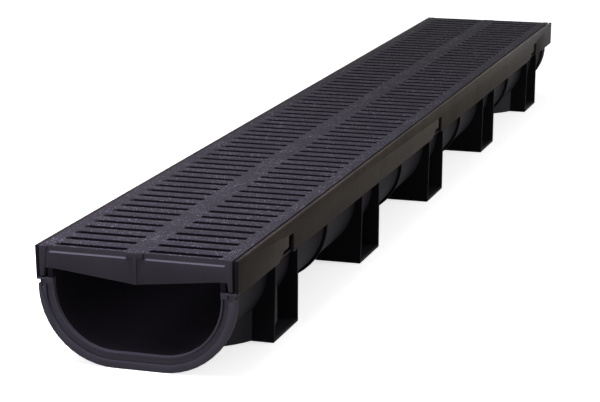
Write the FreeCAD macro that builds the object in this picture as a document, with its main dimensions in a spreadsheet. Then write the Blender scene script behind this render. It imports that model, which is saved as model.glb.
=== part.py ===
"""Channel drain: a one metre moulded trough with a lift-out slotted grate.

X runs across the channel, Y along it from the socket end to the spigot end,
and Z up from the soles of the feet.  Both pieces are drawn as their +X half,
measured along Y from the socket face, and mirrored whole across the middle.
"""
import FreeCAD, Part
import Sketcher
import os

# Driving dimensions in millimetres: word, size, what it measures.
SIZES = [
    ("channel_length", 1000.0, "socket face to the far end of the rims"),
    ("shell_radius", 43.5, "outside radius of a haunch of the trough"),
    ("shell_wall", 3.5, "wall of the trough"),
    ("flange_stand", 7.0, "how far the socket flange stands out from the trough"),
    ("flange_depth", 4.0, "thickness of that flange along the channel"),
    ("flange_rise", 1.5, "upper corner of the flange over the haunch centres"),
    ("ledge_rise", 4.0, "underside of the rim's ledge over the haunch centres"),
    ("ledge_wall", 1.5, "thickness of the ledge that carries a rim"),
    ("seat_height", 6.3, "ledge to the top of the trough wall, which the grate rests on"),
    ("rim_height", 21.0, "ledge to the top of the rims"),
    ("rim_half", 68.5, "middle to the outside of a rim"),
    ("rim_wall", 2.5, "thickness of a rim"),
    ("rim_draft", 0.4, "how far a rim leans in at its lower edge"),
    ("rim_gutter", 6.0, "rim to the trough wall, where a leg of the grate hangs"),
    ("neck_inset", 3.0, "how far the flange's neck and the feet sit in from a rim"),
    ("socket_stand", 2.0, "outer side of the socket groove beyond the trough's outside"),
    ("socket_depth", 2.8, "depth of that groove"),
    ("lip_wall", 1.4, "wall between the groove and the bore"),
    ("lip_setback", 0.8, "how far that wall sits behind the flange face"),
    ("tongue_gap", 0.4, "play of the spigot tongue in a socket groove, each side"),
    ("tongue_length", 2.5, "spigot tongue beyond the far end of the rims"),
    ("spigot_band", 12.0, "length of the thickened wall behind the tongue"),
    ("catch_inset", 1.2, "trough's outside to the near side of the catch recess"),
    ("catch_width", 3.6, "width of the catch recess"),
    ("catch_height", 4.2, "height of the catch recess"),
    ("catch_depth", 1.5, "depth of the catch recess"),
    ("hoop_stand", 2.3, "how far a stiffening hoop stands out from the trough"),
    ("hoop_width", 2.4, "width of a hoop along the channel"),
    ("foot_first", 104.0, "socket face to the middle of the first foot"),
    ("foot_pitch", 202.0, "from one foot to the next"),
    ("foot_base", 52.0, "length of a foot at its sole"),
    ("foot_head", 48.0, "length of a foot under the ledge"),
    ("foot_web", 2.5, "thickness of a foot's webs and sole"),
    ("foot_width", 36.5, "inner to outer edge of a foot"),
    ("foot_lean", 1.2, "how far the outer edge leans in at the sole"),
    ("outlet_radius", 55.0, "outside radius of the two outlet collars"),
    ("outlet_wall", 3.0, "thickness of an outlet collar"),
    ("outlet_drop", 16.5, "haunch centres down to where a collar ends"),
    ("window_near", 4.5, "middle of a foot back to the near side of its rim window"),
    ("window_far", 6.0, "middle of a foot on to the far side of the window"),
    ("window_height", 13.3, "height of a rim window"),
    ("notch_near", 24.0, "middle of a foot back to where the notch starts to rise"),
    ("notch_slope", 10.0, "length of the notch's sloping side"),
    ("notch_height", 5.7, "height of the notch beside a window"),
    ("grate_gap", 0.85, "play between the grate and a rim, each side"),
    ("grate_shift", 0.6, "how far to the -X side the grate lies in that play"),
    ("plate_wall", 3.7, "thickness of the grate's plate"),
    ("leg_wall", 2.85, "thickness of a side leg of the grate at its lower edge"),
    ("leg_flare", 2.0, "how much thicker it is under the plate"),
    ("leg_gap", 0.9, "lower edge of a leg over the ledge"),
    ("keel_half", 1.5, "half thickness of the rib along the middle"),
    ("keel_drop", 6.0, "how far the ribs hang below their seats in the middle"),
    ("rib_inset", 1.0, "trough's bore in to where the cross ribs level out"),
    ("rib_width", 3.6, "thickness of a cross rib"),
    ("skirt_wall", 1.8, "thickness of the ribs that close the two ends"),
    ("skirt_setback", 0.8, "how far those sit behind the ends of the legs"),
    ("nosing_depth", 1.0, "slope from an end rib back to the plate's edge"),
    ("nosing_drop", 0.8, "height of that slope"),
    ("nosing_inset", 1.8, "inner end of a slot in to where the slope starts"),
    ("slot_pitch", 15.15, "from one slot to the next"),
    ("slot_width", 5.6, "width of a slot along the channel"),
    ("slot_inner", 7.5, "middle to the inner end of a slot"),
    ("slot_inset", 4.0, "root of a leg in to the outer end of a slot"),
    ("slot_corner", 1.2, "how far the corners of a slot are cut off"),
]
# What follows from them, up from the soles of the feet and out from the middle.
SUMS = {
    "bore_radius": "shell_radius - shell_wall",
    "flange_radius": "shell_radius + flange_stand",
    "socket_radius": "shell_radius + socket_stand",
    "lip_radius": "bore_radius + lip_wall",
    "spigot_radius": "socket_radius - tongue_gap",
    "tongue_radius": "lip_radius + tongue_gap",
    "hoop_radius": "shell_radius + hoop_stand",
    "haunch_level": "shell_radius + flange_stand",
    "flange_top": "haunch_level + flange_rise",
    "ledge_under": "haunch_level + ledge_rise",
    "ledge_top": "ledge_under + ledge_wall",
    "seat_top": "ledge_top + seat_height",
    "rim_top": "ledge_top + rim_height",
    "trough_half": "rim_half - rim_wall - rim_gutter",
    "floor_half": "trough_half - shell_radius",
    "neck_half": "rim_half - neck_inset",
    "foot_toe": "neck_half - foot_width",
    "outlet_bore": "outlet_radius - outlet_wall",
    "catch_near": "trough_half + catch_inset",
    "catch_far": "catch_near + catch_width",
    "grate_half": "rim_half - rim_wall - grate_gap",
    "leg_tip": "grate_half - leg_wall",
    "leg_root": "leg_tip - leg_flare",
    "leg_foot": "ledge_top + leg_gap",
    "plate_under": "rim_top - plate_wall",
    "keel_foot": "seat_top - keel_drop",
    "rib_shoulder": "trough_half - shell_wall - rib_inset",
    "slot_outer": "leg_root - slot_inset",
    "nosing_low": "plate_under - nosing_drop",
    "nosing_inner": "slot_inner - nosing_inset",
}

doc = FreeCAD.newDocument("channel_drain")
sheet = doc.addObject("Spreadsheet::Sheet", "Sizes")
for row, (word, amount, meaning) in enumerate(SIZES, start=1):
    sheet.set(f"A{row}", word)
    sheet.set(f"B{row}", str(amount))
    sheet.set(f"C{row}", meaning)
    sheet.setAlias(f"B{row}", word)
doc.recompute()


def worth(formula):
    """Number that a sum of words comes to, such as 'rim_half - rim_wall' or 'slot_pitch/2'."""
    total = 0.0
    sign = 1.0
    for token in formula.split():
        if token in "+-":
            sign = 1.0 if token == "+" else -1.0
            continue
        word, _, divisor = token.partition("/")
        if word in SUMS:
            amount = worth(SUMS[word])
        else:
            amount = sheet.get(word) if word.isidentifier() else float(word)
        total += sign * amount / float(divisor or 1)
    return total


def bound(formula):
    """The same sum as an expression on the sheet."""
    tokens = []
    for token in formula.split():
        word, slash, divisor = token.partition("/")
        if word in SUMS:
            word = f"({bound(SUMS[word])})"
        elif word.isidentifier():
            word = "Sizes." + word
        tokens.append(word + slash + divisor)
    return " ".join(tokens)


foot_room = worth("channel_length - foot_first - foot_base/2")
foot_count = int(foot_room // worth("foot_pitch")) + 1
slot_count = int(worth("channel_length") // worth("slot_pitch"))


def origin_feature(body, role):
    return next(item for item in body.Origin.OriginFeatures if item.Role == role)


def new_body(label):
    body = doc.addObject("PartDesign::Body", label)
    body.Label = label
    body.AllowCompound = True
    return body


def new_sketch(body, name, plane, distance="0"):
    """Empty sketch on an origin plane, moved along the plane's axis to a distance."""
    sketch = body.newObject("Sketcher::SketchObject", name)
    sketch.AttachmentSupport = [(origin_feature(body, plane), "")]
    sketch.MapMode = "FlatFace"
    if distance != "0":
        away = "-" if plane == "XZ_Plane" else ""
        sketch.setExpression("AttachmentOffset.Base.z", f"{away}({bound(distance)})")
    return sketch


def pin(sketch, geometry, end, place):
    """Hold one point of the sketch across, or across and up, at sums from the sheet."""
    for kind, formula in zip(("DistanceX", "DistanceY"), place):
        index = sketch.addConstraint(Sketcher.Constraint(kind, -1, 1, geometry, end, worth(formula)))
        sketch.setExpression(f"Constraints[{index}]", bound(formula))


def draw(sketch, corners):
    """Closed outline through the corners, counter-clockwise.

    A corner is (x, y), or (x, y, centre_x, centre_y, radius, turn) where the edge to
    the next corner is an arc that turns "left" or "right".
    """
    vectors = [FreeCAD.Vector(worth(corner[0]), worth(corner[1]), 0) for corner in corners]
    first = sketch.GeometryCount
    flipped = []
    for number, corner in enumerate(corners):
        start = vectors[number]
        stop = vectors[(number + 1) % len(corners)]
        if len(corner) == 2:
            sketch.addGeometry(Part.LineSegment(start, stop), False)
            flipped.append(False)
            continue
        centre = FreeCAD.Vector(worth(corner[2]), worth(corner[3]), 0)
        circle = Part.Circle(centre, FreeCAD.Vector(0, 0, 1), worth(corner[4]))
        ends = (start, stop) if corner[5] == "left" else (stop, start)
        arc = Part.ArcOfCircle(circle, circle.parameter(ends[0]), circle.parameter(ends[1]))
        sketch.addGeometry(arc, False)
        flipped.append(corner[5] == "right")
    for number, corner in enumerate(corners):
        geometry = first + number
        following = first + (number + 1) % len(corners)
        start_end, stop_end = (2, 1) if flipped[number] else (1, 2)
        next_start = 2 if flipped[(number + 1) % len(corners)] else 1
        sketch.addConstraint(Sketcher.Constraint("Coincident", geometry, stop_end, following, next_start))
        pin(sketch, geometry, start_end, corner[:2])
        if len(corner) > 2:
            pin(sketch, geometry, 3, corner[2:3])


def pad(body, sketch, length, backwards=False):
    """Extrude a sketch; sketches on the XZ plane go backwards to run along +Y."""
    feature = body.newObject("PartDesign::Pad", sketch.Name + "_pad")
    feature.Profile = sketch
    feature.setExpression("Length", bound(length))
    feature.Reversed = backwards
    return feature


def pocket(body, sketch, length, backwards=False, midplane=False):
    """Cut a sketch away; a pocket runs against its plane's axis unless backwards."""
    feature = body.newObject("PartDesign::Pocket", sketch.Name + "_cut")
    feature.Profile = sketch
    feature.setExpression("Length", bound(length))
    feature.Midplane = midplane
    feature.Reversed = backwards
    return feature


def repeat(body, features, pitch, count, step="1"):
    """Copies of the features along the channel, every so many pitches."""
    pattern = body.newObject("PartDesign::LinearPattern", features[0].Name + "_row")
    pattern.Originals = features
    pattern.Direction = (origin_feature(body, "Y_Axis"), [""])
    pattern.Mode = "Spacing"
    pattern.setExpression("Offset", f"{step} * {bound(pitch)}")
    pattern.Occurrences = count
    body.Tip = pattern
    return pattern


def mirror_whole(body):
    """The -X half, and the body's place: centred along Y."""
    doc.recompute()
    half = body.newObject("PartDesign::Mirrored", body.Name + "_halves")
    half.TransformMode = "Whole shape"
    half.MirrorPlane = (origin_feature(body, "YZ_Plane"), [""])
    body.Tip = half
    body.setExpression("Placement.Base.y", "-(Sizes.channel_length + Sizes.tongue_length) / 2")
    return half


def rounded_half(radius, top):
    """Half of a trough section from its bottom middle: floor, haunch, side, then across at the top."""
    side = f"floor_half + {radius}"
    return [
        ("0", f"haunch_level - {radius}"),
        ("floor_half", f"haunch_level - {radius}", "floor_half", "haunch_level", radius, "left"),
        (side, "haunch_level"),
        (side, top),
        ("0", top),
    ]


def ring_half(outer, inner, top):
    """Half of a U-shaped band between two radii."""
    return [
        ("0", f"haunch_level - {outer}"),
        ("floor_half", f"haunch_level - {outer}", "floor_half", "haunch_level", outer, "left"),
        (f"floor_half + {outer}", "haunch_level"),
        (f"floor_half + {outer}", top),
        (f"floor_half + {inner}", top),
        (f"floor_half + {inner}", "haunch_level", "floor_half", "haunch_level", inner, "right"),
        ("floor_half", f"haunch_level - {inner}"),
        ("0", f"haunch_level - {inner}"),
    ]


def make_feet(body):
    """Five feet: two leaning webs and a sole, open outwards, under the rim."""
    sketch = new_sketch(body, "foot", "YZ_Plane", "foot_toe")
    draw(sketch, [
        ("foot_first - foot_base/2", "0"),
        ("foot_first + foot_base/2", "0"),
        ("foot_first + foot_head/2", "ledge_top"),
        ("foot_first + foot_head/2 - foot_web", "ledge_top"),
        ("foot_first + foot_base/2 - foot_web", "foot_web"),
        ("foot_first - foot_base/2 + foot_web", "foot_web"),
        ("foot_first - foot_head/2 + foot_web", "ledge_top"),
        ("foot_first - foot_head/2", "ledge_top"),
    ])
    foot = pad(body, sketch, "neck_half - foot_toe")
    repeat(body, [foot], "foot_pitch", foot_count)
    lean = new_sketch(body, "foot_lean_face", "XZ_Plane")
    draw(lean, [
        ("neck_half - foot_lean", "0"),
        ("neck_half + foot_lean", "0"),
        ("neck_half + foot_lean", "ledge_top"),
        ("neck_half", "ledge_top"),
    ])
    pocket(body, lean, "channel_length")


def make_outlets(body):
    """Two round collars under the floor, over the first and last feet."""
    bore_near = "foot_first - outlet_bore"
    bore_far = "foot_first + outlet_bore"
    bore = new_sketch(body, "outlet_bore", "XY_Plane")
    draw(bore, [
        ("0", bore_near, "0", "foot_first", "outlet_bore", "left"),
        ("0", bore_far),
    ])
    bore_cut = pocket(body, bore, "rim_top", backwards=True)
    repeat(body, [bore_cut], "foot_pitch", 2, f"{foot_count - 1}")
    collar = new_sketch(body, "outlet_collar", "XY_Plane")
    draw(collar, [
        ("0", "foot_first - outlet_radius", "0", "foot_first", "outlet_radius", "left"),
        ("0", "foot_first + outlet_radius"),
        ("0", bore_far, "0", "foot_first", "outlet_bore", "right"),
        ("0", bore_near),
    ])
    collar_pad = pad(body, collar, "haunch_level - outlet_drop")
    repeat(body, [collar_pad], "foot_pitch", 2, f"{foot_count - 1}")


def make_shell(body):
    """Trough, ledge and rim as one section along the channel, still solid inside."""
    sketch = new_sketch(body, "shell", "XZ_Plane")
    draw(sketch, rounded_half("shell_radius", "ledge_under")[:3] + [
        ("trough_half", "ledge_under"),
        ("rim_half - rim_draft", "ledge_under"),
        ("rim_half", "rim_top"),
        ("rim_half - rim_wall", "rim_top"),
        ("rim_half - rim_wall", "ledge_top"),
        ("trough_half", "ledge_top"),
        ("trough_half", "seat_top"),
        ("0", "seat_top"),
    ])
    pad(body, sketch, "channel_length", backwards=True)


def make_hoops(body):
    """Thin stiffening hoops half way between the feet."""
    sketch = new_sketch(body, "hoop", "XZ_Plane", "foot_first + foot_pitch/2 - hoop_width/2")
    draw(sketch, rounded_half("hoop_radius", "ledge_under"))
    hoop = pad(body, sketch, "hoop_width", backwards=True)
    repeat(body, [hoop], "foot_pitch", foot_count - 1)


def make_ends(body):
    """Socket flange at one end, spigot band and tongue at the other."""
    flange = new_sketch(body, "flange", "XZ_Plane")
    draw(flange, rounded_half("flange_radius", "flange_top")[:3] + [
        ("floor_half + flange_radius", "flange_top"),
        ("neck_half", "flange_top"),
        ("neck_half", "ledge_top"),
        ("0", "ledge_top"),
    ])
    pad(body, flange, "flange_depth", backwards=True)
    band = new_sketch(body, "spigot", "XZ_Plane", "channel_length - spigot_band")
    draw(band, rounded_half("spigot_radius", "ledge_under"))
    pad(body, band, "spigot_band", backwards=True)
    tongue = new_sketch(body, "tongue", "XZ_Plane", "channel_length")
    draw(tongue, ring_half("spigot_radius", "tongue_radius", "flange_top"))
    pad(body, tongue, "tongue_length", backwards=True)


def cut_inside(body):
    """Bore of the trough, groove and lip of the socket, catch recess."""
    bore = new_sketch(body, "bore", "XZ_Plane")
    draw(bore, rounded_half("bore_radius", "rim_top"))
    pocket(body, bore, "channel_length + channel_length", midplane=True)
    groove = new_sketch(body, "groove", "XZ_Plane")
    draw(groove, ring_half("socket_radius", "lip_radius", "flange_top"))
    pocket(body, groove, "socket_depth")
    lip = new_sketch(body, "lip", "XZ_Plane")
    draw(lip, rounded_half("lip_radius", "flange_top"))
    pocket(body, lip, "lip_setback")
    catch = new_sketch(body, "catch", "XZ_Plane")
    draw(catch, [
        ("catch_near", "ledge_under - catch_height"),
        ("catch_far", "ledge_under - catch_height"),
        ("catch_far", "ledge_under"),
        ("catch_near", "ledge_under"),
    ])
    pocket(body, catch, "catch_depth")


def cut_windows(body):
    """A window with a notch beside it, cut up into the rim over every other foot."""
    window = new_sketch(body, "window", "YZ_Plane", "rim_half + rim_wall")
    draw(window, [
        ("foot_first - notch_near", "ledge_under"),
        ("foot_first + window_far", "ledge_under"),
        ("foot_first + window_far", "ledge_under + window_height"),
        ("foot_first - window_near", "ledge_under + window_height"),
        ("foot_first - window_near", "ledge_under + notch_height"),
        ("foot_first - notch_near + notch_slope", "ledge_under + notch_height"),
    ])
    cut = pocket(body, window, "rim_wall + rim_wall")
    repeat(body, [cut], "foot_pitch", (foot_count + 1) // 2, "2")


def make_channel():
    body = new_body("channel_body")
    make_feet(body)
    make_outlets(body)
    make_shell(body)
    make_hoops(body)
    make_ends(body)
    cut_inside(body)
    cut_windows(body)
    mirror_whole(body)
    return body


def make_grate():
    """Plate with two rows of slots, side legs, V-shaped cross ribs and a rib along the middle."""
    body = new_body("grate")
    plate = new_sketch(body, "plate", "XZ_Plane")
    draw(plate, [
        ("0", "keel_foot"),
        ("keel_half", "keel_foot"),
        ("keel_half", "plate_under"),
        ("leg_root", "plate_under"),
        ("leg_tip", "leg_foot"),
        ("grate_half", "leg_foot"),
        ("grate_half", "rim_top"),
        ("0", "rim_top"),
    ])
    pad(body, plate, "channel_length", backwards=True)
    rib_outline = [
        ("0", "keel_foot"),
        ("rib_shoulder", "seat_top"),
        ("leg_tip", "seat_top"),
        ("leg_tip", "plate_under"),
        ("0", "plate_under"),
    ]
    rib = new_sketch(body, "rib", "XZ_Plane", "slot_pitch - rib_width/2")
    draw(rib, rib_outline)
    rib_pad = pad(body, rib, "rib_width", backwards=True)
    repeat(body, [rib_pad], "slot_pitch", slot_count - 1)
    far_skirt = "channel_length - skirt_setback - skirt_wall"
    for name, place in (("near_skirt", "skirt_setback"), ("far_skirt", far_skirt)):
        skirt = new_sketch(body, name, "XZ_Plane", place)
        draw(skirt, rib_outline)
        pad(body, skirt, "skirt_wall", backwards=True)
    slot = new_sketch(body, "slot", "XY_Plane", "rim_top")
    near = "slot_pitch/2 - slot_width/2"
    far = "slot_pitch/2 + slot_width/2"
    draw(slot, [
        ("slot_inner + slot_corner", near),
        ("slot_outer - slot_corner", near),
        ("slot_outer", f"{near} + slot_corner"),
        ("slot_outer", f"{far} - slot_corner"),
        ("slot_outer - slot_corner", far),
        ("slot_inner + slot_corner", far),
        ("slot_inner", f"{far} - slot_corner"),
        ("slot_inner", f"{near} + slot_corner"),
    ])
    slot_cut = pocket(body, slot, "rim_top - plate_under")
    repeat(body, [slot_cut], "slot_pitch", slot_count)
    for name, edge, inward, outward in (("near", "0", "+", "-"), ("far", "channel_length", "-", "+")):
        nosing = new_sketch(body, name + "_nosing", "YZ_Plane", "nosing_inner")
        face = f"{edge} {inward} skirt_setback"
        draw(nosing, [
            (f"{edge} {outward} nosing_depth", "nosing_low"),
            (face, "nosing_low"),
            (f"{face} {inward} nosing_depth", "plate_under"),
            (f"{face} {inward} nosing_depth", "rim_top + nosing_depth"),
            (f"{edge} {outward} nosing_depth", "rim_top + nosing_depth"),
        ])
        pocket(body, nosing, "leg_root - nosing_inner", backwards=True)
    body.setExpression("Placement.Base.x", "-Sizes.grate_shift")
    mirror_whole(body)
    return body


pieces = [make_channel(), make_grate()]
doc.recompute()

for item in doc.Objects:
    if "Invalid" in item.State or "Error" in item.State:
        raise RuntimeError(f"{item.Name} did not compute: {item.State}")

os.makedirs("parts", exist_ok=True)
for piece in pieces:
    shape = piece.Shape
    if shape.isNull() or not shape.isValid() or len(shape.Solids) != 1:
        raise RuntimeError(f"{piece.Label} is not one sound solid")
    shape.exportStep(f"parts/{piece.Label}.step")
    box = shape.BoundBox
    print(f"{piece.Label}: {shape.Volume / 1000:.1f} cm3, {len(shape.Faces)} faces, "
          f"x {box.XMin:.2f} {box.XMax:.2f}, y {box.YMin:.2f} {box.YMax:.2f}, "
          f"z {box.ZMin:.2f} {box.ZMax:.2f}")
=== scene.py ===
"""Channel drain: a one metre moulded trough with a lift-out slotted grate, dressed and lit."""

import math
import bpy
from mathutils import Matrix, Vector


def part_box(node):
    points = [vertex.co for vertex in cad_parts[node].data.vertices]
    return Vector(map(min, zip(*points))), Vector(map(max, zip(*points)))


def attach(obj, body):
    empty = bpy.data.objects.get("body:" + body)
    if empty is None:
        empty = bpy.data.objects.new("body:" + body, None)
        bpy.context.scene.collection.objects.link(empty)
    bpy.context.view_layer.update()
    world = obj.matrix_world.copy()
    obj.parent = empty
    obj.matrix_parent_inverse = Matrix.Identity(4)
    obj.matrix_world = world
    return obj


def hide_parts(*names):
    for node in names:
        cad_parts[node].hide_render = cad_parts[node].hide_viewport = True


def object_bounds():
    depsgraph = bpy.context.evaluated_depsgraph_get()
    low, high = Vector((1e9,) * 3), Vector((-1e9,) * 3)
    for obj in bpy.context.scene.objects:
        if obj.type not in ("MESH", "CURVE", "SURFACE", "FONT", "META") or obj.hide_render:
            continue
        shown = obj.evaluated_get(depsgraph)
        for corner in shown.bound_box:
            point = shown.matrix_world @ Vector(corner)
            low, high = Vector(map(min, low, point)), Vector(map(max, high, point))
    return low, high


bl_info = {
    "name": "Channel Drain",
    "version": (1, 0, 0),
    "blender": (4, 5, 0),
    "location": "View3D > Sidebar > Drain",
    "description": "Builds a plastic drainage channel with its slotted grate, and a plain studio",
    "category": "Add Mesh",
}

import bmesh
import bpy
from bpy.props import FloatProperty, FloatVectorProperty, IntProperty, PointerProperty, StringProperty
from bpy.types import Operator, Panel, PropertyGroup
from mathutils import Matrix, Vector

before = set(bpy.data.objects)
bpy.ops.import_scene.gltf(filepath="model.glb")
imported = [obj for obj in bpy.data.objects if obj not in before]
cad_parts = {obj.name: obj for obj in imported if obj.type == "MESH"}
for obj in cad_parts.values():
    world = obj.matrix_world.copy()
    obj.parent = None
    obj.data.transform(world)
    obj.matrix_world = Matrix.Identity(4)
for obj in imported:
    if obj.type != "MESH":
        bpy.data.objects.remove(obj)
CAD_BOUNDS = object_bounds()
GRATE_LOW, GRATE_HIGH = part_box("grate")
BODY_LOW, BODY_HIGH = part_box("channel_body")
MM = 0.001

# Where a tone or a patch of painted light or shade ends, in metres from the faces of the solids. BEYOND takes a
# mask safely past the outer faces.
BEYOND = 1.0 * MM
RIM_DEPTH = 22.5 * MM  # top of the rims down past their ledges
RIM_SKIN = 2.6 * MM  # outer face of a rim in to just past its inner face
RIM_START = 0.4 * MM  # leaves the rims' cut ends plain, without patches or painted light
FLANGE_DEPTH = 4.1 * MM  # socket face to just past the flange's back
FLANGE_TOP = 20.8 * MM  # top of the rims down to the flange
COLLAR_AXES = (104.0 * MM, 912.0 * MM)  # socket face to the middles of the outlet collars
COLLAR_TOP = 34.0 * MM  # soles to where the collars meet the trough
COLLAR_SKIN = (54.3 * MM, 55.4 * MM)  # radii on both sides of a collar's outer face
UPRIGHT = 0.3  # a face whose normal rises or falls less than this is a wall
TOP_SKIN = 0.2 * MM  # depth of the grate's top face
SLOT_DEPTH = 3.9 * MM  # top of the grate to just below the plate
SLOT_REACH = 55.0 * MM  # middle of the grate to the last of the slot walls with painted shade
PLAIN_ENDS = 4.0 * MM  # ends of the grate whose slot walls stay as pale as its top, without painted shade
SLOPE_LEVELS = (3.4 * MM, 4.4 * MM)  # top of the grate down to the slopes at its ends
SLOPE_SPAN = (6.6 * MM, 59.0 * MM)  # middle of the grate to the two ends of a slope
SLOPE_DEPTH = 2.4 * MM  # ends of the grate in to just past the slopes
PEEL = 2.0 * MM  # crest to crest of the orange peel
CLUSTER = 25.0 * MM  # width of a patch of painted glints
POLYPROPYLENE_IOR = 1.49
SPECULAR = 0.03  # both skins are dry and reflect next to nothing


# Sizes, tones and painted light and shade that a user would change

def length(name, description, millimetres):
    """A length property given in millimetres."""
    return FloatProperty(name=name, description=description, default=millimetres * MM, min=0.0,
                         unit="LENGTH", precision=5)


class DrainBodySizes(PropertyGroup):
    edge_radius: length("Edge radius", "Rounding that the mould leaves along the longer edges", 0.35)
    shortest_edge: length("Shortest edge", "Edges shorter than this stay sharp", 1.2)


class DrainGrateSizes(PropertyGroup):
    slot_count: IntProperty(name="Slots", description="Slots in each of the two rows", default=66, min=3)
    slot_width: length("Slot width", "Opening of a slot along the channel", 5.6)
    slot_inner: length("Slot inner end", "Middle of the grate to the near end of a slot", 7.5)
    slot_outer: length("Slot outer end", "Middle of the grate to the far end of a slot", 56.3)
    slot_corner: length("Slot corner", "Corner radius of a slot", 1.8)
    plate: length("Plate", "Thickness of the slotted plate", 3.7)
    rib: length("Rib", "Thickness of a cross rib under a bar", 3.6)
    keel: length("Keel", "Thickness of the rib along the middle", 3.0)
    seat_drop: length("Seat drop", "Top of the grate down to where its ribs rest", 14.7)
    rib_shoulder: length("Rib shoulder", "Middle to where the ribs level out onto their seats", 55.5)
    leg_drop: length("Leg drop", "Top of the grate down to the lower edge of its legs", 20.1)
    leg_root: length("Leg root", "Middle to the inner side of a leg at the plate", 60.3)
    leg_tip: length("Leg tip", "Middle to the inner side of a leg at its lower edge", 62.3)
    skirt: length("End skirt", "Thickness of the rib that closes an end", 1.8)
    skirt_setback: length("Skirt setback", "How far the end skirt sits behind the legs", 0.8)
    nosing: length("Nosing", "Depth of the sloping step over the end skirt", 1.0)
    nosing_drop: length("Nosing drop", "Height of that slope", 0.8)
    nosing_inner: length("Nosing inner end", "Middle to where the step begins", 5.7)
    edge_radius: length("Edge radius", "Rounding along the edges of the grate", 0.3)


class DrainTonesAndPaintedLight(PropertyGroup):
    body_colour: StringProperty(name="Channel colour", description="Black of the channel, sRGB hex",
                                default="#171518")
    # Painted light: paler, browner patches on the rims' outer faces where they catch the light.
    rim_patch_and_light_colour: StringProperty(name="Rim patch and light colour", description="Browner patches on the rims, sRGB hex",
                                 default="#423C35")
    grate_colour: StringProperty(name="Grate colour", description="Charcoal of the grate, sRGB hex",
                                 default="#3B393D")
    # Painted highlight: pale glints painted on the grate's top.
    glint_highlight_colour: StringProperty(name="Glint highlight colour", description="Pale glints on the grate, sRGB hex",
                                 default="#9E9BA8")
    # Painted shade: the walls of the slots are painted dark for the shade inside them.
    slot_shade_colour: StringProperty(name="Slot shade colour", description="Dark walls of the slots, sRGB hex",
                                default="#1A181D")
    # Painted highlight: the slopes at the grate's ends are painted pale where they catch the light.
    slope_highlight_colour: StringProperty(name="Slope highlight colour", description="Pale slopes at the grate's ends, sRGB hex",
                                 default="#646168")
    grain: length("Grain", "Width of one grain of the grate's texture", 0.9)
    # Painted light: the flange and the outlet collars are painted paler for the light that falls on them.
    flange_light_colour: StringProperty(name="Flange light colour", description="Socket flange and outlet collars, sRGB hex",
                                  default="#454349")
    mould_mottle: length("Mottle", "Width of the soft patches on the channel's faces", 38.0)


class DrainStage(PropertyGroup):
    azimuth: FloatProperty(name="Azimuth", description="Turn of the camera to the right of the channel's axis",
                           default=math.radians(18.112), subtype="ANGLE")
    elevation: FloatProperty(name="Elevation", description="Tilt of the camera below the horizon",
                             default=math.radians(13.909), subtype="ANGLE")
    roll: FloatProperty(name="Roll", description="Turn of the camera about its own axis",
                        default=math.radians(-0.3), subtype="ANGLE")
    place: FloatVectorProperty(name="Camera place", description="Where the camera stands",
                               default=(0.4666, -1.5959, 0.4035), subtype="XYZ_LENGTH")
    lens: FloatProperty(name="Lens", description="Focal length for a 36 mm sensor", default=118.38)
    key_colour: StringProperty(name="Key light colour", description="Faintly violet white, sRGB hex",
                               default="#E9E4FF")
    key_power: FloatProperty(name="Key light", description="Power of the large lamp over the near end, in watts",
                             default=5.7, min=0.0)
    front_colour: StringProperty(name="Front light colour", description="Nearly neutral white, sRGB hex",
                                 default="#F4F0FF")
    front_power: FloatProperty(name="Front light", description="Power of the low lamp at the near end, in watts",
                               default=1.0, min=0.0)
    right_power: FloatProperty(name="Right light", description="Power of the lamp right of the channel, in watts",
                               default=5.0, min=0.0)
    left_power: FloatProperty(name="Left light", description="Power of the lamp left of the channel, in watts",
                              default=14.0, min=0.0)
    back_power: FloatProperty(name="Back light", description="Power of the lamp behind the far end, in watts",
                              default=6.0, min=0.0)
    floor_shade: StringProperty(name="Floor shade", description="Colour of the light off the floor, sRGB hex",
                                default="#6A6866")
    sky: FloatProperty(name="Sky", description="Strength of the even light all round", default=0.32, min=0.0)


# Materials

def linear(hex_colour):
    """An sRGB hex colour as linear RGBA."""
    channels = [int(hex_colour[place:place + 2], 16) / 255 for place in (1, 3, 5)]
    curve = [part / 12.92 if part <= 0.04045 else ((part + 0.055) / 1.055) ** 2.4 for part in channels]
    return (*curve, 1.0)


def add_node(tree, kind, settings=None, **links):
    """A node with its settings; a link is an output socket, any other value is set on the input."""
    node = tree.nodes.new(kind)
    for name, value in (settings or {}).items():
        setattr(node, name, value)
    for name, value in links.items():
        socket = node.inputs[int(name[1:])] if name[1:].isdigit() else node.inputs[name.replace("_", " ")]
        if isinstance(value, bpy.types.NodeSocket):
            tree.links.new(value, socket)
        else:
            socket.default_value = value
    return node


def new_material(name):
    """An empty node material and its tree."""
    material = bpy.data.materials.new(name)
    material.use_nodes = True
    material.node_tree.nodes.clear()
    return material, material.node_tree


def ramp(tree, source, stops):
    """A colour ramp through (position, value) grey stops."""
    node = add_node(tree, "ShaderNodeValToRGB", Fac=source)
    elements = node.color_ramp.elements
    while len(elements) < len(stops):
        elements.new(0.5)
    for element, (position, value) in zip(elements, stops):
        element.position = position
        element.color = (value, value, value, 1.0)
    return node.outputs["Color"]


def between(tree, value, low, high):
    """1 where the value lies between two numbers."""
    return add_node(tree, "ShaderNodeMath", {"operation": "COMPARE"}, _0=value, _1=(low + high) / 2,
                    _2=(high - low) / 2).outputs[0]


def absolute(tree, value):
    """The size of a number, whatever its sign."""
    return add_node(tree, "ShaderNodeMath", {"operation": "ABSOLUTE"}, _0=value).outputs[0]


def both(tree, first, second):
    """1 where both masks are 1."""
    return add_node(tree, "ShaderNodeMath", {"operation": "MULTIPLY"}, _0=first, _1=second).outputs[0]


def blend(tree, mask, ground, over, blend_type="MIX"):
    """One colour over another where the mask is 1."""
    return add_node(tree, "ShaderNodeMix", {"data_type": "RGBA", "blend_type": blend_type}, _0=mask,
                    _6=ground, _7=over).outputs["Result"]


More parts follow.
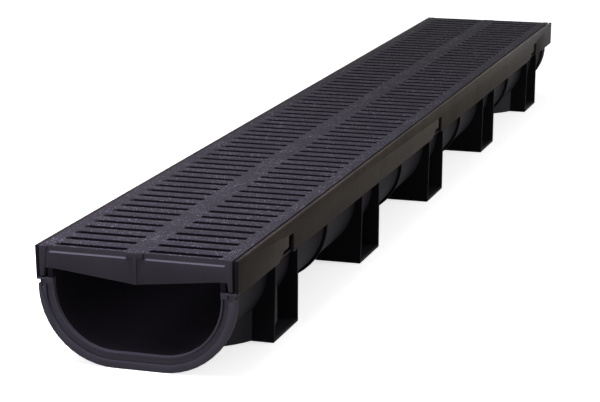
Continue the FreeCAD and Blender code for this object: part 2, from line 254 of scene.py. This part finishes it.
def moulded_polypropylene(tones_and_painted_light):
    """Carbon-black polypropylene, injection moulded: satin and a little cloudy, with weak broad reflections."""
    material, tree = new_material("moulded_polypropylene")
    place = add_node(tree, "ShaderNodeTexCoord").outputs["Object"]
    # Soft patches a few centimetres wide, duller and shinier by turns.
    mottle = add_node(tree, "ShaderNodeTexNoise", Vector=place, Scale=1.0 / tones_and_painted_light.mould_mottle,
                      Detail=4.0, Roughness=0.55).outputs["Fac"]
    # Fine orange peel of the mould's steel.
    peel = add_node(tree, "ShaderNodeTexNoise", Vector=place, Scale=1.0 / PEEL, Detail=3.0).outputs["Fac"]
    split = add_node(tree, "ShaderNodeSeparateXYZ", Vector=place)
    # Painted light: the rims' outer faces are painted browner and paler than the rest where they catch the light,
    # in patches, and least so at the ends, where the light falls off.
    across = absolute(tree, split.outputs["X"])
    on_rim = both(tree, between(tree, split.outputs["Z"], BODY_HIGH.z - RIM_DEPTH, BODY_HIGH.z + BEYOND),
                  between(tree, across, BODY_HIGH.x - RIM_SKIN, BODY_HIGH.x + BEYOND))
    on_rim = both(tree, on_rim, between(tree, split.outputs["Y"], BODY_LOW.y + RIM_START, BODY_HIGH.y))
    along = add_node(tree, "ShaderNodeMapRange", Value=split.outputs["Y"], From_Min=BODY_LOW.y,
                     From_Max=BODY_HIGH.y).outputs["Result"]
    on_rim = both(tree, on_rim, ramp(tree, along, [(0.0, 0.75), (0.09, 1.0), (0.78, 1.0), (0.97, 0.3)]))
    cloud = ramp(tree, mottle, [(0.34, 0.45), (0.62, 1.0)])
    tone = blend(tree, both(tree, on_rim, cloud), linear(tones_and_painted_light.body_colour), linear(tones_and_painted_light.rim_patch_and_light_colour))
    # Painted light: the socket's flange is painted greyer and paler than the rest, for the light that falls on it
    # from the front.
    at_socket = between(tree, split.outputs["Y"], BODY_LOW.y - BEYOND, BODY_LOW.y + FLANGE_DEPTH)
    below_rim = between(tree, split.outputs["Z"], BODY_LOW.z - BEYOND, BODY_HIGH.z - FLANGE_TOP)
    tone = blend(tree, both(tree, at_socket, below_rim), tone, linear(tones_and_painted_light.flange_light_colour))
    # Painted light: so are the upright walls of the round outlet collars under the first and the last foot.
    normal = add_node(tree, "ShaderNodeNewGeometry").outputs["True Normal"]
    rise = add_node(tree, "ShaderNodeSeparateXYZ", Vector=normal).outputs["Z"]
    low_wall = both(tree, between(tree, rise, -UPRIGHT, UPRIGHT),
                    between(tree, split.outputs["Z"], BODY_LOW.z - BEYOND, BODY_LOW.z + COLLAR_TOP))
    for axis in COLLAR_AXES:
        from_axis = add_node(tree, "ShaderNodeVectorMath", {"operation": "MULTIPLY_ADD"}, _0=place,
                             _1=(1.0, 1.0, 0.0), _2=(0.0, -BODY_LOW.y - axis, 0.0)).outputs[0]
        radius = add_node(tree, "ShaderNodeVectorMath", {"operation": "LENGTH"}, _0=from_axis).outputs["Value"]
        on_collar = both(tree, low_wall, between(tree, radius, *COLLAR_SKIN))
        tone = blend(tree, on_collar, tone, linear(tones_and_painted_light.flange_light_colour))
    gloss = add_node(tree, "ShaderNodeMapRange", Value=mottle, To_Min=0.62, To_Max=0.85).outputs["Result"]
    bump = add_node(tree, "ShaderNodeBump", Height=peel, Strength=0.12, Distance=0.0002).outputs["Normal"]
    shader = add_node(tree, "ShaderNodeBsdfPrincipled", Base_Color=tone, Roughness=gloss, Normal=bump,
                      IOR=POLYPROPYLENE_IOR, Specular_IOR_Level=SPECULAR)
    tree.links.new(shader.outputs[0], add_node(tree, "ShaderNodeOutputMaterial").inputs["Surface"])
    return material


def spark_textured_polypropylene(tones_and_painted_light):
    """Charcoal polypropylene from a spark-eroded mould: a dry, gritty skin for grip, with painted glints of light,
    painted shade in its slots and painted highlights on its end slopes.

    The real grit is about 0.3 mm; it is drawn three times coarser so that it shows.
    """
    material, tree = new_material("spark_textured_polypropylene")
    place = add_node(tree, "ShaderNodeTexCoord").outputs["Object"]
    grit = add_node(tree, "ShaderNodeTexNoise", Vector=place, Scale=1.0 / tones_and_painted_light.grain, Detail=2.0,
                    Roughness=0.65).outputs["Fac"]
    patches = add_node(tree, "ShaderNodeTexNoise", Vector=place, Scale=1.0 / CLUSTER, Detail=3.0).outputs["Fac"]
    split = add_node(tree, "ShaderNodeSeparateXYZ", Vector=place)
    height = split.outputs["Z"]
    on_top = between(tree, height, GRATE_HIGH.z - TOP_SKIN, GRATE_HIGH.z + BEYOND)
    # Painted highlights: about one cell in twelve is a pale glint, more of them in some patches than in others.
    grains = add_node(tree, "ShaderNodeTexVoronoi", Vector=place, Scale=1.0 / tones_and_painted_light.grain)
    chance = add_node(tree, "ShaderNodeSeparateColor", Color=grains.outputs["Color"]).outputs[0]
    chosen = ramp(tree, chance, [(0.88, 0.0), (0.95, 1.0)])
    middle = ramp(tree, grains.outputs["Distance"], [(0.25, 1.0), (0.55, 0.0)])
    grain = both(tree, chosen, middle)
    clusters = ramp(tree, patches, [(0.42, 0.3), (0.58, 1.0)])
    glint = both(tree, both(tree, grain, on_top), clusters)
    charcoal = linear(tones_and_painted_light.grate_colour)
    ground = blend(tree, patches, tuple(part * 0.8 for part in charcoal[:3]) + (1.0,),
                   tuple(part * 1.2 for part in charcoal[:3]) + (1.0,))
    pits = ramp(tree, grit, [(0.32, 0.45), (0.52, 1.0)])
    ground = blend(tree, on_top, ground, pits, "MULTIPLY")
    # Painted shade: the walls of the slots are painted darker than the top, away from the ends of the grate, for
    # the shade down in the slots.
    across = absolute(tree, split.outputs["X"])
    in_plate = between(tree, height, GRATE_HIGH.z - SLOT_DEPTH, GRATE_HIGH.z - TOP_SKIN)
    inward = between(tree, split.outputs["Y"], GRATE_LOW.y + PLAIN_ENDS, GRATE_HIGH.y - PLAIN_ENDS)
    slot_shade = both(tree, both(tree, in_plate, inward), between(tree, across, -BEYOND, SLOT_REACH))
    ground = blend(tree, slot_shade, ground, linear(tones_and_painted_light.slot_shade_colour))
    # Painted highlight: the little slope at each end is painted paler than the top, where it catches the light.
    at_slope = both(tree, between(tree, height, GRATE_HIGH.z - SLOPE_LEVELS[1], GRATE_HIGH.z - SLOPE_LEVELS[0]),
                    between(tree, across, *SLOPE_SPAN))
    inside = between(tree, split.outputs["Y"], GRATE_LOW.y + SLOPE_DEPTH, GRATE_HIGH.y - SLOPE_DEPTH)
    at_ends = add_node(tree, "ShaderNodeMath", {"operation": "SUBTRACT"}, _0=1.0, _1=inside).outputs[0]
    ground = blend(tree, both(tree, at_slope, at_ends), ground, linear(tones_and_painted_light.slope_highlight_colour))
    tone = blend(tree, glint, ground, linear(tones_and_painted_light.glint_highlight_colour))
    gloss = add_node(tree, "ShaderNodeMapRange", Value=grit, To_Min=1.0, To_Max=0.85).outputs["Result"]
    bump = add_node(tree, "ShaderNodeBump", Height=grit, Strength=0.5, Distance=0.0004).outputs["Normal"]
    shader = add_node(tree, "ShaderNodeBsdfPrincipled", Base_Color=tone, Roughness=gloss, Normal=bump,
                      IOR=POLYPROPYLENE_IOR, Specular_IOR_Level=SPECULAR)
    tree.links.new(shader.outputs[0], add_node(tree, "ShaderNodeOutputMaterial").inputs["Surface"])
    return material


def seen_directly(tree):
    """1 for rays that look at a surface, straight or in a mirror or a glass, and 0 for its light on others."""
    rays = add_node(tree, "ShaderNodeLightPath")
    looking = add_node(tree, "ShaderNodeMath", {"operation": "MAXIMUM"}, _0=rays.outputs["Is Camera Ray"],
                       _1=rays.outputs["Is Glossy Ray"]).outputs[0]
    return add_node(tree, "ShaderNodeMath", {"operation": "MAXIMUM"}, _0=looking,
                    _1=rays.outputs["Is Transmission Ray"]).outputs[0]


def studio_paper(stage):
    """White studio paper: it looks white with a soft shadow, and throws little light back on the object."""
    material, tree = new_material("studio_paper")
    # The sky lights the paper by its own strength, and the glow adds what is missing to white.
    paper = add_node(tree, "ShaderNodeBsdfDiffuse", Color=linear("#FFFFFF"))
    glow = add_node(tree, "ShaderNodeEmission", Color=linear("#FFFFFF"), Strength=max(0.0, 1.0 - stage.sky))
    white = add_node(tree, "ShaderNodeAddShader", _0=paper.outputs[0], _1=glow.outputs[0])
    dull = add_node(tree, "ShaderNodeBsdfDiffuse", Color=linear(stage.floor_shade))
    mix = add_node(tree, "ShaderNodeMixShader", _0=seen_directly(tree), _1=dull.outputs[0], _2=white.outputs[0])
    tree.links.new(mix.outputs[0], add_node(tree, "ShaderNodeOutputMaterial").inputs["Surface"])
    return material


# Meshes

SHARP_ANGLE = math.radians(28)  # edges sharper than this are rounded
SMOOTH_ANGLE = math.radians(32)  # edges flatter than this are shaded smoothly
FLAT_ANGLE = math.radians(0.4)  # triangles flatter than this become one face
SAME_POINT = 1e-6  # corners nearer than this, in metres, are one


def new_object(name, mesh):
    """An object at the origin that holds the mesh."""
    piece = bpy.data.objects.new(name, mesh)
    bpy.context.scene.collection.objects.link(piece)
    return piece


def applied(piece):
    """Makes the piece's modifiers part of a plain mesh."""
    graph = bpy.context.evaluated_depsgraph_get()
    mesh = bpy.data.meshes.new_from_object(piece.evaluated_get(graph))
    mesh.name = piece.name
    piece.modifiers.clear()
    piece.data = mesh


def round_edges(piece, radius, shortest=0.0):
    """Rounds the sharp edges that are long enough, and shades the rest smoothly."""
    mesh = piece.data
    shape = bmesh.new()
    shape.from_mesh(mesh)
    weight = shape.edges.layers.float.new("bevel_weight_edge")
    for edge in shape.edges:
        sharp = edge.is_manifold and edge.calc_face_angle() > SHARP_ANGLE
        if sharp and edge.calc_length() >= shortest:
            edge[weight] = 1.0
    shape.to_mesh(mesh)
    shape.free()
    bevel = piece.modifiers.new("edges", "BEVEL")
    bevel.width = radius
    bevel.segments = 2
    bevel.limit_method = "WEIGHT"
    bevel.use_clamp_overlap = False
    bevel.loop_slide = True
    applied(piece)
    piece.data.shade_smooth()
    piece.data.set_sharp_from_angle(angle=SMOOTH_ANGLE)


def finish_piece(piece, node, material):
    """Gives the piece its material and lets it stand for the solid of the same shape."""
    piece.data.materials.clear()
    piece.data.materials.append(material)
    for polygon in piece.data.polygons:
        polygon.material_index = 0
    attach(piece, "root")
    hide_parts(node)


class DRAIN_OT_body(Operator):
    """Make the moulded channel with softly rounded edges"""
    bl_idname = "drain.body"
    bl_label = "Channel Body"

    def execute(self, context):
        sizes = context.scene.drain_body
        piece = new_object("moulded_channel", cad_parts["channel_body"].data.copy())
        shape = bmesh.new()
        shape.from_mesh(piece.data)
        bmesh.ops.remove_doubles(shape, verts=shape.verts, dist=SAME_POINT)
        bmesh.ops.dissolve_limit(shape, angle_limit=FLAT_ANGLE, verts=shape.verts, edges=shape.edges)
        shape.to_mesh(piece.data)
        shape.free()
        round_edges(piece, sizes.edge_radius, sizes.shortest_edge)
        finish_piece(piece, "channel_body", moulded_polypropylene(context.scene.drain_finishes))
        return {"FINISHED"}


def slot_outline(sizes):
    """Half of a slot's outline in plan, from its inner end on the slot's middle line to its outer end."""
    corner = sizes.slot_corner
    edge = sizes.slot_width / 2
    steps = [math.radians(angle) for angle in (0, 30, 60, 90)]
    inner = [(sizes.slot_inner + corner - corner * math.cos(step), edge - corner + corner * math.sin(step))
             for step in steps]
    outer = [(sizes.slot_outer - corner + corner * math.sin(step), edge - corner + corner * math.cos(step))
             for step in steps]
    return [(sizes.slot_inner, 0.0)] + inner + outer + [(sizes.slot_outer, 0.0)]


def quarter_cell(sizes, is_end):
    """Faces of a quarter of one slot cell: x from the middle out, y from the slot's middle line to its border.

    The border is the middle of a bar, left open for the next cell, or the closed end of the grate.
    """
    top = GRATE_HIGH.z
    under = top - sizes.plate
    seat = top - sizes.seat_drop
    leg_foot = top - sizes.leg_drop
    keel_foot = GRATE_LOW.z
    side = (GRATE_HIGH.x - GRATE_LOW.x) / 2
    keel = sizes.keel / 2
    root = sizes.leg_root
    tip = sizes.leg_tip
    shoulder = sizes.rib_shoulder
    border = (GRATE_HIGH.y - GRATE_LOW.y) / sizes.slot_count / 2

    def leg_inside(level):
        return root + (tip - root) * (under - level) / (under - leg_foot)

    seat_leg = leg_inside(seat)
    slot = slot_outline(sizes)
    rib_front = border - sizes.skirt_setback if is_end else border
    rib_back = rib_front - sizes.skirt if is_end else border - sizes.rib / 2
    faces = [
        [(x, y, under) for x, y in [(keel, 0.0)] + slot + [(root, 0.0), (root, rib_back), (keel, rib_back)]],
        [(keel, 0.0, keel_foot), (keel, rib_back, keel_foot), (keel, rib_back, under), (keel, 0.0, under)],
        [(keel, rib_back, under), (root, rib_back, under), (seat_leg, rib_back, seat),
         (shoulder, rib_back, seat), (keel, rib_back, keel_foot)],
        [(keel, rib_back, keel_foot), (shoulder, rib_back, seat),
         (shoulder, rib_front, seat), (keel, rib_front, keel_foot)],
        [(shoulder, rib_back, seat), (seat_leg, rib_back, seat),
         (seat_leg, rib_front, seat), (shoulder, rib_front, seat)],
        [(tip, 0.0, leg_foot), (side, 0.0, leg_foot), (side, border, leg_foot), (tip, border, leg_foot)],
        [(side, 0.0, leg_foot), (side, 0.0, top), (side, border, top), (side, border, leg_foot)],
    ]
    for (x, y), (next_x, next_y) in zip(slot, slot[1:]):
        faces.append([(x, y, top), (next_x, next_y, top), (next_x, next_y, under), (x, y, under)])
    leg_face = [(root, 0.0, under), (tip, 0.0, leg_foot), (tip, border, leg_foot)]
    top_face = [(0.0, 0.0)] + slot + [(side, 0.0), (side, border)]
    if not is_end:
        leg_face += [(seat_leg, border, seat), (seat_leg, rib_back, seat), (root, rib_back, under)]
        faces += [
            leg_face,
            [(0.0, 0.0, keel_foot), (keel, 0.0, keel_foot), (keel, rib_back, keel_foot),
             (keel, border, keel_foot), (0.0, border, keel_foot)],
            [(x, y, top) for x, y in top_face + [(0.0, border)]],
        ]
        return faces
    step = rib_front - sizes.nosing
    low = under - sizes.nosing_drop
    low_leg = leg_inside(low)
    start = sizes.nosing_inner
    leg_face += [(root, border, under), (root, step, under), (low_leg, rib_front, low),
                 (seat_leg, rib_front, seat), (seat_leg, rib_back, seat), (root, rib_back, under)]
    top_face += [(root, border), (root, step), (start, step), (start, border), (0.0, border)]
    faces += [
        leg_face,
        [(x, y, top) for x, y in top_face],
        [(0.0, 0.0, keel_foot), (keel, 0.0, keel_foot), (keel, rib_back, keel_foot),
         (keel, rib_front, keel_foot), (keel, border, keel_foot), (0.0, border, keel_foot)],
        [(start, step, under), (root, step, under), (root, step, top), (start, step, top)],
        [(start, step, under), (root, step, under), (low_leg, rib_front, low), (start, rib_front, low)],
        [(start, step, top), (start, border, top), (start, border, under),
         (start, rib_front, under), (start, rib_front, low), (start, step, under)],
        [(root, step, under), (root, border, under), (root, border, top), (root, step, top)],
        [(keel, rib_front, under), (start, rib_front, under), (start, border, under), (keel, border, under)],
        [(keel, rib_front, keel_foot), (keel, border, keel_foot), (keel, border, under), (keel, rib_front, under)],
        [(keel, rib_front, keel_foot), (shoulder, rib_front, seat), (seat_leg, rib_front, seat),
         (low_leg, rib_front, low), (start, rib_front, low), (start, rib_front, under), (keel, rib_front, under)],
        [(0.0, border, top), (start, border, top), (start, border, under),
         (keel, border, under), (keel, border, keel_foot), (0.0, border, keel_foot)],
        [(root, border, top), (side, border, top), (side, border, leg_foot),
         (tip, border, leg_foot), (root, border, under)],
    ]
    return faces


def add_faces(shape, faces, middle_y, across=1.0, along=1.0):
    """Adds faces to the shape, mirrored across or along where asked, about the slot's middle line."""
    for face in faces:
        corners = [shape.verts.new((x * across, middle_y + y * along, z)) for x, y, z in face]
        shape.faces.new(corners if across * along > 0 else corners[::-1])


def cell_mesh(name, sizes, ends):
    """Slot cells as one mesh; ends lists (middle_y, near border is an end, far border is an end)."""
    plain = quarter_cell(sizes, False)
    closed = quarter_cell(sizes, True)
    shape = bmesh.new()
    for middle_y, near_end, far_end in ends:
        for across in (1.0, -1.0):
            add_faces(shape, closed if near_end else plain, middle_y, across, -1.0)
            add_faces(shape, closed if far_end else plain, middle_y, across, 1.0)
    bmesh.ops.remove_doubles(shape, verts=shape.verts, dist=SAME_POINT)
    bmesh.ops.recalc_face_normals(shape, faces=shape.faces)
    mesh = bpy.data.meshes.new(name)
    shape.to_mesh(mesh)
    shape.free()
    return mesh


def cell_row_tree(material):
    """Geometry Nodes: the object's own mesh, one slot cell, repeated along Y and welded into one row."""
    tree = bpy.data.node_groups.new("slot_cell_row", "GeometryNodeTree")
    sockets = tree.interface
    sockets.new_socket("Geometry", in_out="INPUT", socket_type="NodeSocketGeometry")
    sockets.new_socket("Count", in_out="INPUT", socket_type="NodeSocketInt")
    sockets.new_socket("Pitch", in_out="INPUT", socket_type="NodeSocketFloat")
    sockets.new_socket("Geometry", in_out="OUTPUT", socket_type="NodeSocketGeometry")
    given = add_node(tree, "NodeGroupInput")
    step = add_node(tree, "ShaderNodeCombineXYZ", Y=given.outputs["Pitch"])
    line = add_node(tree, "GeometryNodeMeshLine", Count=given.outputs["Count"], Offset=step.outputs[0])
    row = add_node(tree, "GeometryNodeInstanceOnPoints", Points=line.outputs[0],
                   Instance=given.outputs["Geometry"])
    real = add_node(tree, "GeometryNodeRealizeInstances", Geometry=row.outputs[0])
    welded = add_node(tree, "GeometryNodeMergeByDistance", Geometry=real.outputs[0],
                      Distance=2 * SAME_POINT)
    dressed = add_node(tree, "GeometryNodeSetMaterial", Geometry=welded.outputs[0], Material=material)
    result = add_node(tree, "NodeGroupOutput")
    tree.links.new(dressed.outputs[0], result.inputs[0])
    return tree


class DRAIN_OT_grate(Operator):
    """Make the slotted grate: one slot cell repeated along the channel, closed by two end cells"""
    bl_idname = "drain.grate"
    bl_label = "Grate"

    def execute(self, context):
        sizes = context.scene.drain_grate
        material = spark_textured_polypropylene(context.scene.drain_finishes)
        pitch = (GRATE_HIGH.y - GRATE_LOW.y) / sizes.slot_count
        first = GRATE_LOW.y + pitch / 2
        last = GRATE_HIGH.y - pitch / 2
        piece = new_object("slotted_grate", cell_mesh("slot_cell", sizes, [(first + pitch, False, False)]))
        tree = cell_row_tree(material)
        row = piece.modifiers.new("row", "NODES")
        row.node_group = tree
        inputs = {item.name: item.identifier for item in tree.interface.items_tree if item.in_out == "INPUT"}
        row[inputs["Count"]] = sizes.slot_count - 2
        row[inputs["Pitch"]] = pitch
        applied(piece)
        ends = cell_mesh("end_cells", sizes, [(first, True, False), (last, False, True)])
        shape = bmesh.new()
        shape.from_mesh(piece.data)
        shape.from_mesh(ends)
        bmesh.ops.remove_doubles(shape, verts=shape.verts, dist=2 * SAME_POINT)
        middle = Vector(((GRATE_HIGH.x + GRATE_LOW.x) / 2, 0.0, 0.0))
        bmesh.ops.translate(shape, verts=shape.verts, vec=middle)
        bmesh.ops.recalc_face_normals(shape, faces=shape.faces)
        open_edges = sum(not edge.is_manifold for edge in shape.edges)
        if open_edges:
            raise RuntimeError(f"the grate has {open_edges} open edges")
        shape.to_mesh(piece.data)
        shape.free()
        round_edges(piece, sizes.edge_radius)
        finish_piece(piece, "grate", material)
        return {"FINISHED"}


# Stage

FLOOR_REACH = 12.0  # middle of the floor to its edges, in metres
SENSOR_WIDTH = 36.0  # millimetres
VIEW_END = 50.0  # metres from the camera


def area_lamp(name, place, target, size, power, colour):
    """A soft rectangular lamp that stands at a place and looks at a target."""
    data = bpy.data.lights.new(name, "AREA")
    data.shape = "RECTANGLE"
    data.size, data.size_y = size
    data.energy = power
    data.color = linear(colour)[:3]
    lamp = bpy.data.objects.new(name, data)
    lamp.location = place
    lamp.rotation_euler = (Vector(target) - Vector(place)).to_track_quat("-Z", "Y").to_euler()
    bpy.context.scene.collection.objects.link(lamp)


class DRAIN_OT_stage(Operator):
    """Set the white floor, the lamps, the sky and the camera"""
    bl_idname = "drain.stage"
    bl_label = "Stage"

    def execute(self, context):
        stage = context.scene.drain_stage
        self.floor(stage)
        self.sky(stage)
        near = Vector((0.0, CAD_BOUNDS[0][1], BODY_HIGH.z))
        area_lamp("key", near + Vector((-0.12, -0.02, 0.55)), near + Vector((0.0, 0.08, 0.0)), (0.35, 0.35),
                  stage.key_power, stage.key_colour)
        area_lamp("front", near + Vector((-0.08, -0.5, -0.03)), near + Vector((0.0, 0.0, -0.03)), (0.25, 0.08),
                  stage.front_power, stage.front_colour)
        middle = Vector((0.0, 0.0, BODY_HIGH.z / 2))
        area_lamp("right", Vector((1.3, 0.1, 0.5)), middle, (0.4, 1.2), stage.right_power, "#FFFFFF")
        area_lamp("left", Vector((-1.3, 0.0, 0.12)), middle, (0.4, 1.2), stage.left_power, "#FFFFFF")
        far = Vector((0.0, CAD_BOUNDS[1][1], BODY_HIGH.z / 2))
        area_lamp("back", far + Vector((0.0, 1.1, 0.05)), far, (0.8, 0.2), stage.back_power, "#FFFFFF")
        self.camera(stage)
        return {"FINISHED"}

    def floor(self, stage):
        """A wide flat sheet of studio paper under the feet."""
        shape = bmesh.new()
        bmesh.ops.create_grid(shape, x_segments=1, y_segments=1, size=FLOOR_REACH)
        mesh = bpy.data.meshes.new("floor")
        shape.to_mesh(mesh)
        shape.free()
        mesh.materials.append(studio_paper(stage))
        floor = new_object("floor", mesh)

    def sky(self, stage):
        """Even light all round, in front of a white background."""
        world = bpy.data.worlds.new("studio_sky")
        bpy.context.scene.world = world
        world.use_nodes = True
        tree = world.node_tree
        tree.nodes.clear()
        light = add_node(tree, "ShaderNodeBackground", Color=linear("#FFFFFF"), Strength=stage.sky)
        white = add_node(tree, "ShaderNodeBackground", Color=linear("#FFFFFF"), Strength=1.0)
        mix = add_node(tree, "ShaderNodeMixShader", _0=seen_directly(tree), _1=light.outputs[0],
                       _2=white.outputs[0])
        tree.links.new(mix.outputs[0], add_node(tree, "ShaderNodeOutputWorld").inputs["Surface"])

    def camera(self, stage):
        """The camera, turned by azimuth, elevation and roll."""
        across, level, tilt = stage.azimuth, math.cos(stage.elevation), math.sin(stage.elevation)
        back = Vector((math.sin(across) * level, -math.cos(across) * level, tilt))
        right = (-back).cross(Vector((0.0, 0.0, 1.0))).normalized()
        up = right.cross(-back)
        turned = Matrix((right, up, back)).transposed() @ Matrix.Rotation(stage.roll, 3, "Z")
        data = bpy.data.cameras.new("camera")
        data.lens = stage.lens
        data.sensor_width = SENSOR_WIDTH
        data.clip_end = VIEW_END
        camera = bpy.data.objects.new("camera", data)
        camera.matrix_world = Matrix.Translation(stage.place) @ turned.to_4x4()
        bpy.context.scene.collection.objects.link(camera)
        bpy.context.scene.camera = camera


class DRAIN_PT_panel(Panel):
    bl_label = "Channel Drain"
    bl_idname = "DRAIN_PT_panel"
    bl_space_type = "VIEW_3D"
    bl_region_type = "UI"
    bl_category = "Drain"

    def draw(self, context):
        for operator in OPERATORS:
            self.layout.operator(operator.bl_idname)
        for name in GROUPS:
            settings = getattr(context.scene, name)
            box = self.layout.box()
            for entry in settings.bl_rna.properties:
                if entry.identifier not in {"rna_type", "name"}:
                    box.prop(settings, entry.identifier)


OPERATORS = (DRAIN_OT_body, DRAIN_OT_grate, DRAIN_OT_stage)
GROUPS = {
    "drain_body": DrainBodySizes,
    "drain_grate": DrainGrateSizes,
    "drain_finishes": DrainTonesAndPaintedLight,
    "drain_stage": DrainStage,
}


def register():
    for group in GROUPS.values():
        bpy.utils.register_class(group)
    for name, group in GROUPS.items():
        setattr(bpy.types.Scene, name, PointerProperty(type=group))
    for operator in OPERATORS:
        bpy.utils.register_class(operator)
    bpy.utils.register_class(DRAIN_PT_panel)


def unregister():
    bpy.utils.unregister_class(DRAIN_PT_panel)
    for operator in reversed(OPERATORS):
        bpy.utils.unregister_class(operator)
    for name, group in GROUPS.items():
        delattr(bpy.types.Scene, name)
        bpy.utils.unregister_class(group)


def main():
    register()
    bpy.ops.drain.body()
    bpy.ops.drain.grate()
    bpy.ops.drain.stage()
    bpy.context.scene.view_settings.view_transform = "Standard"


if __name__ == "__main__":
    main()
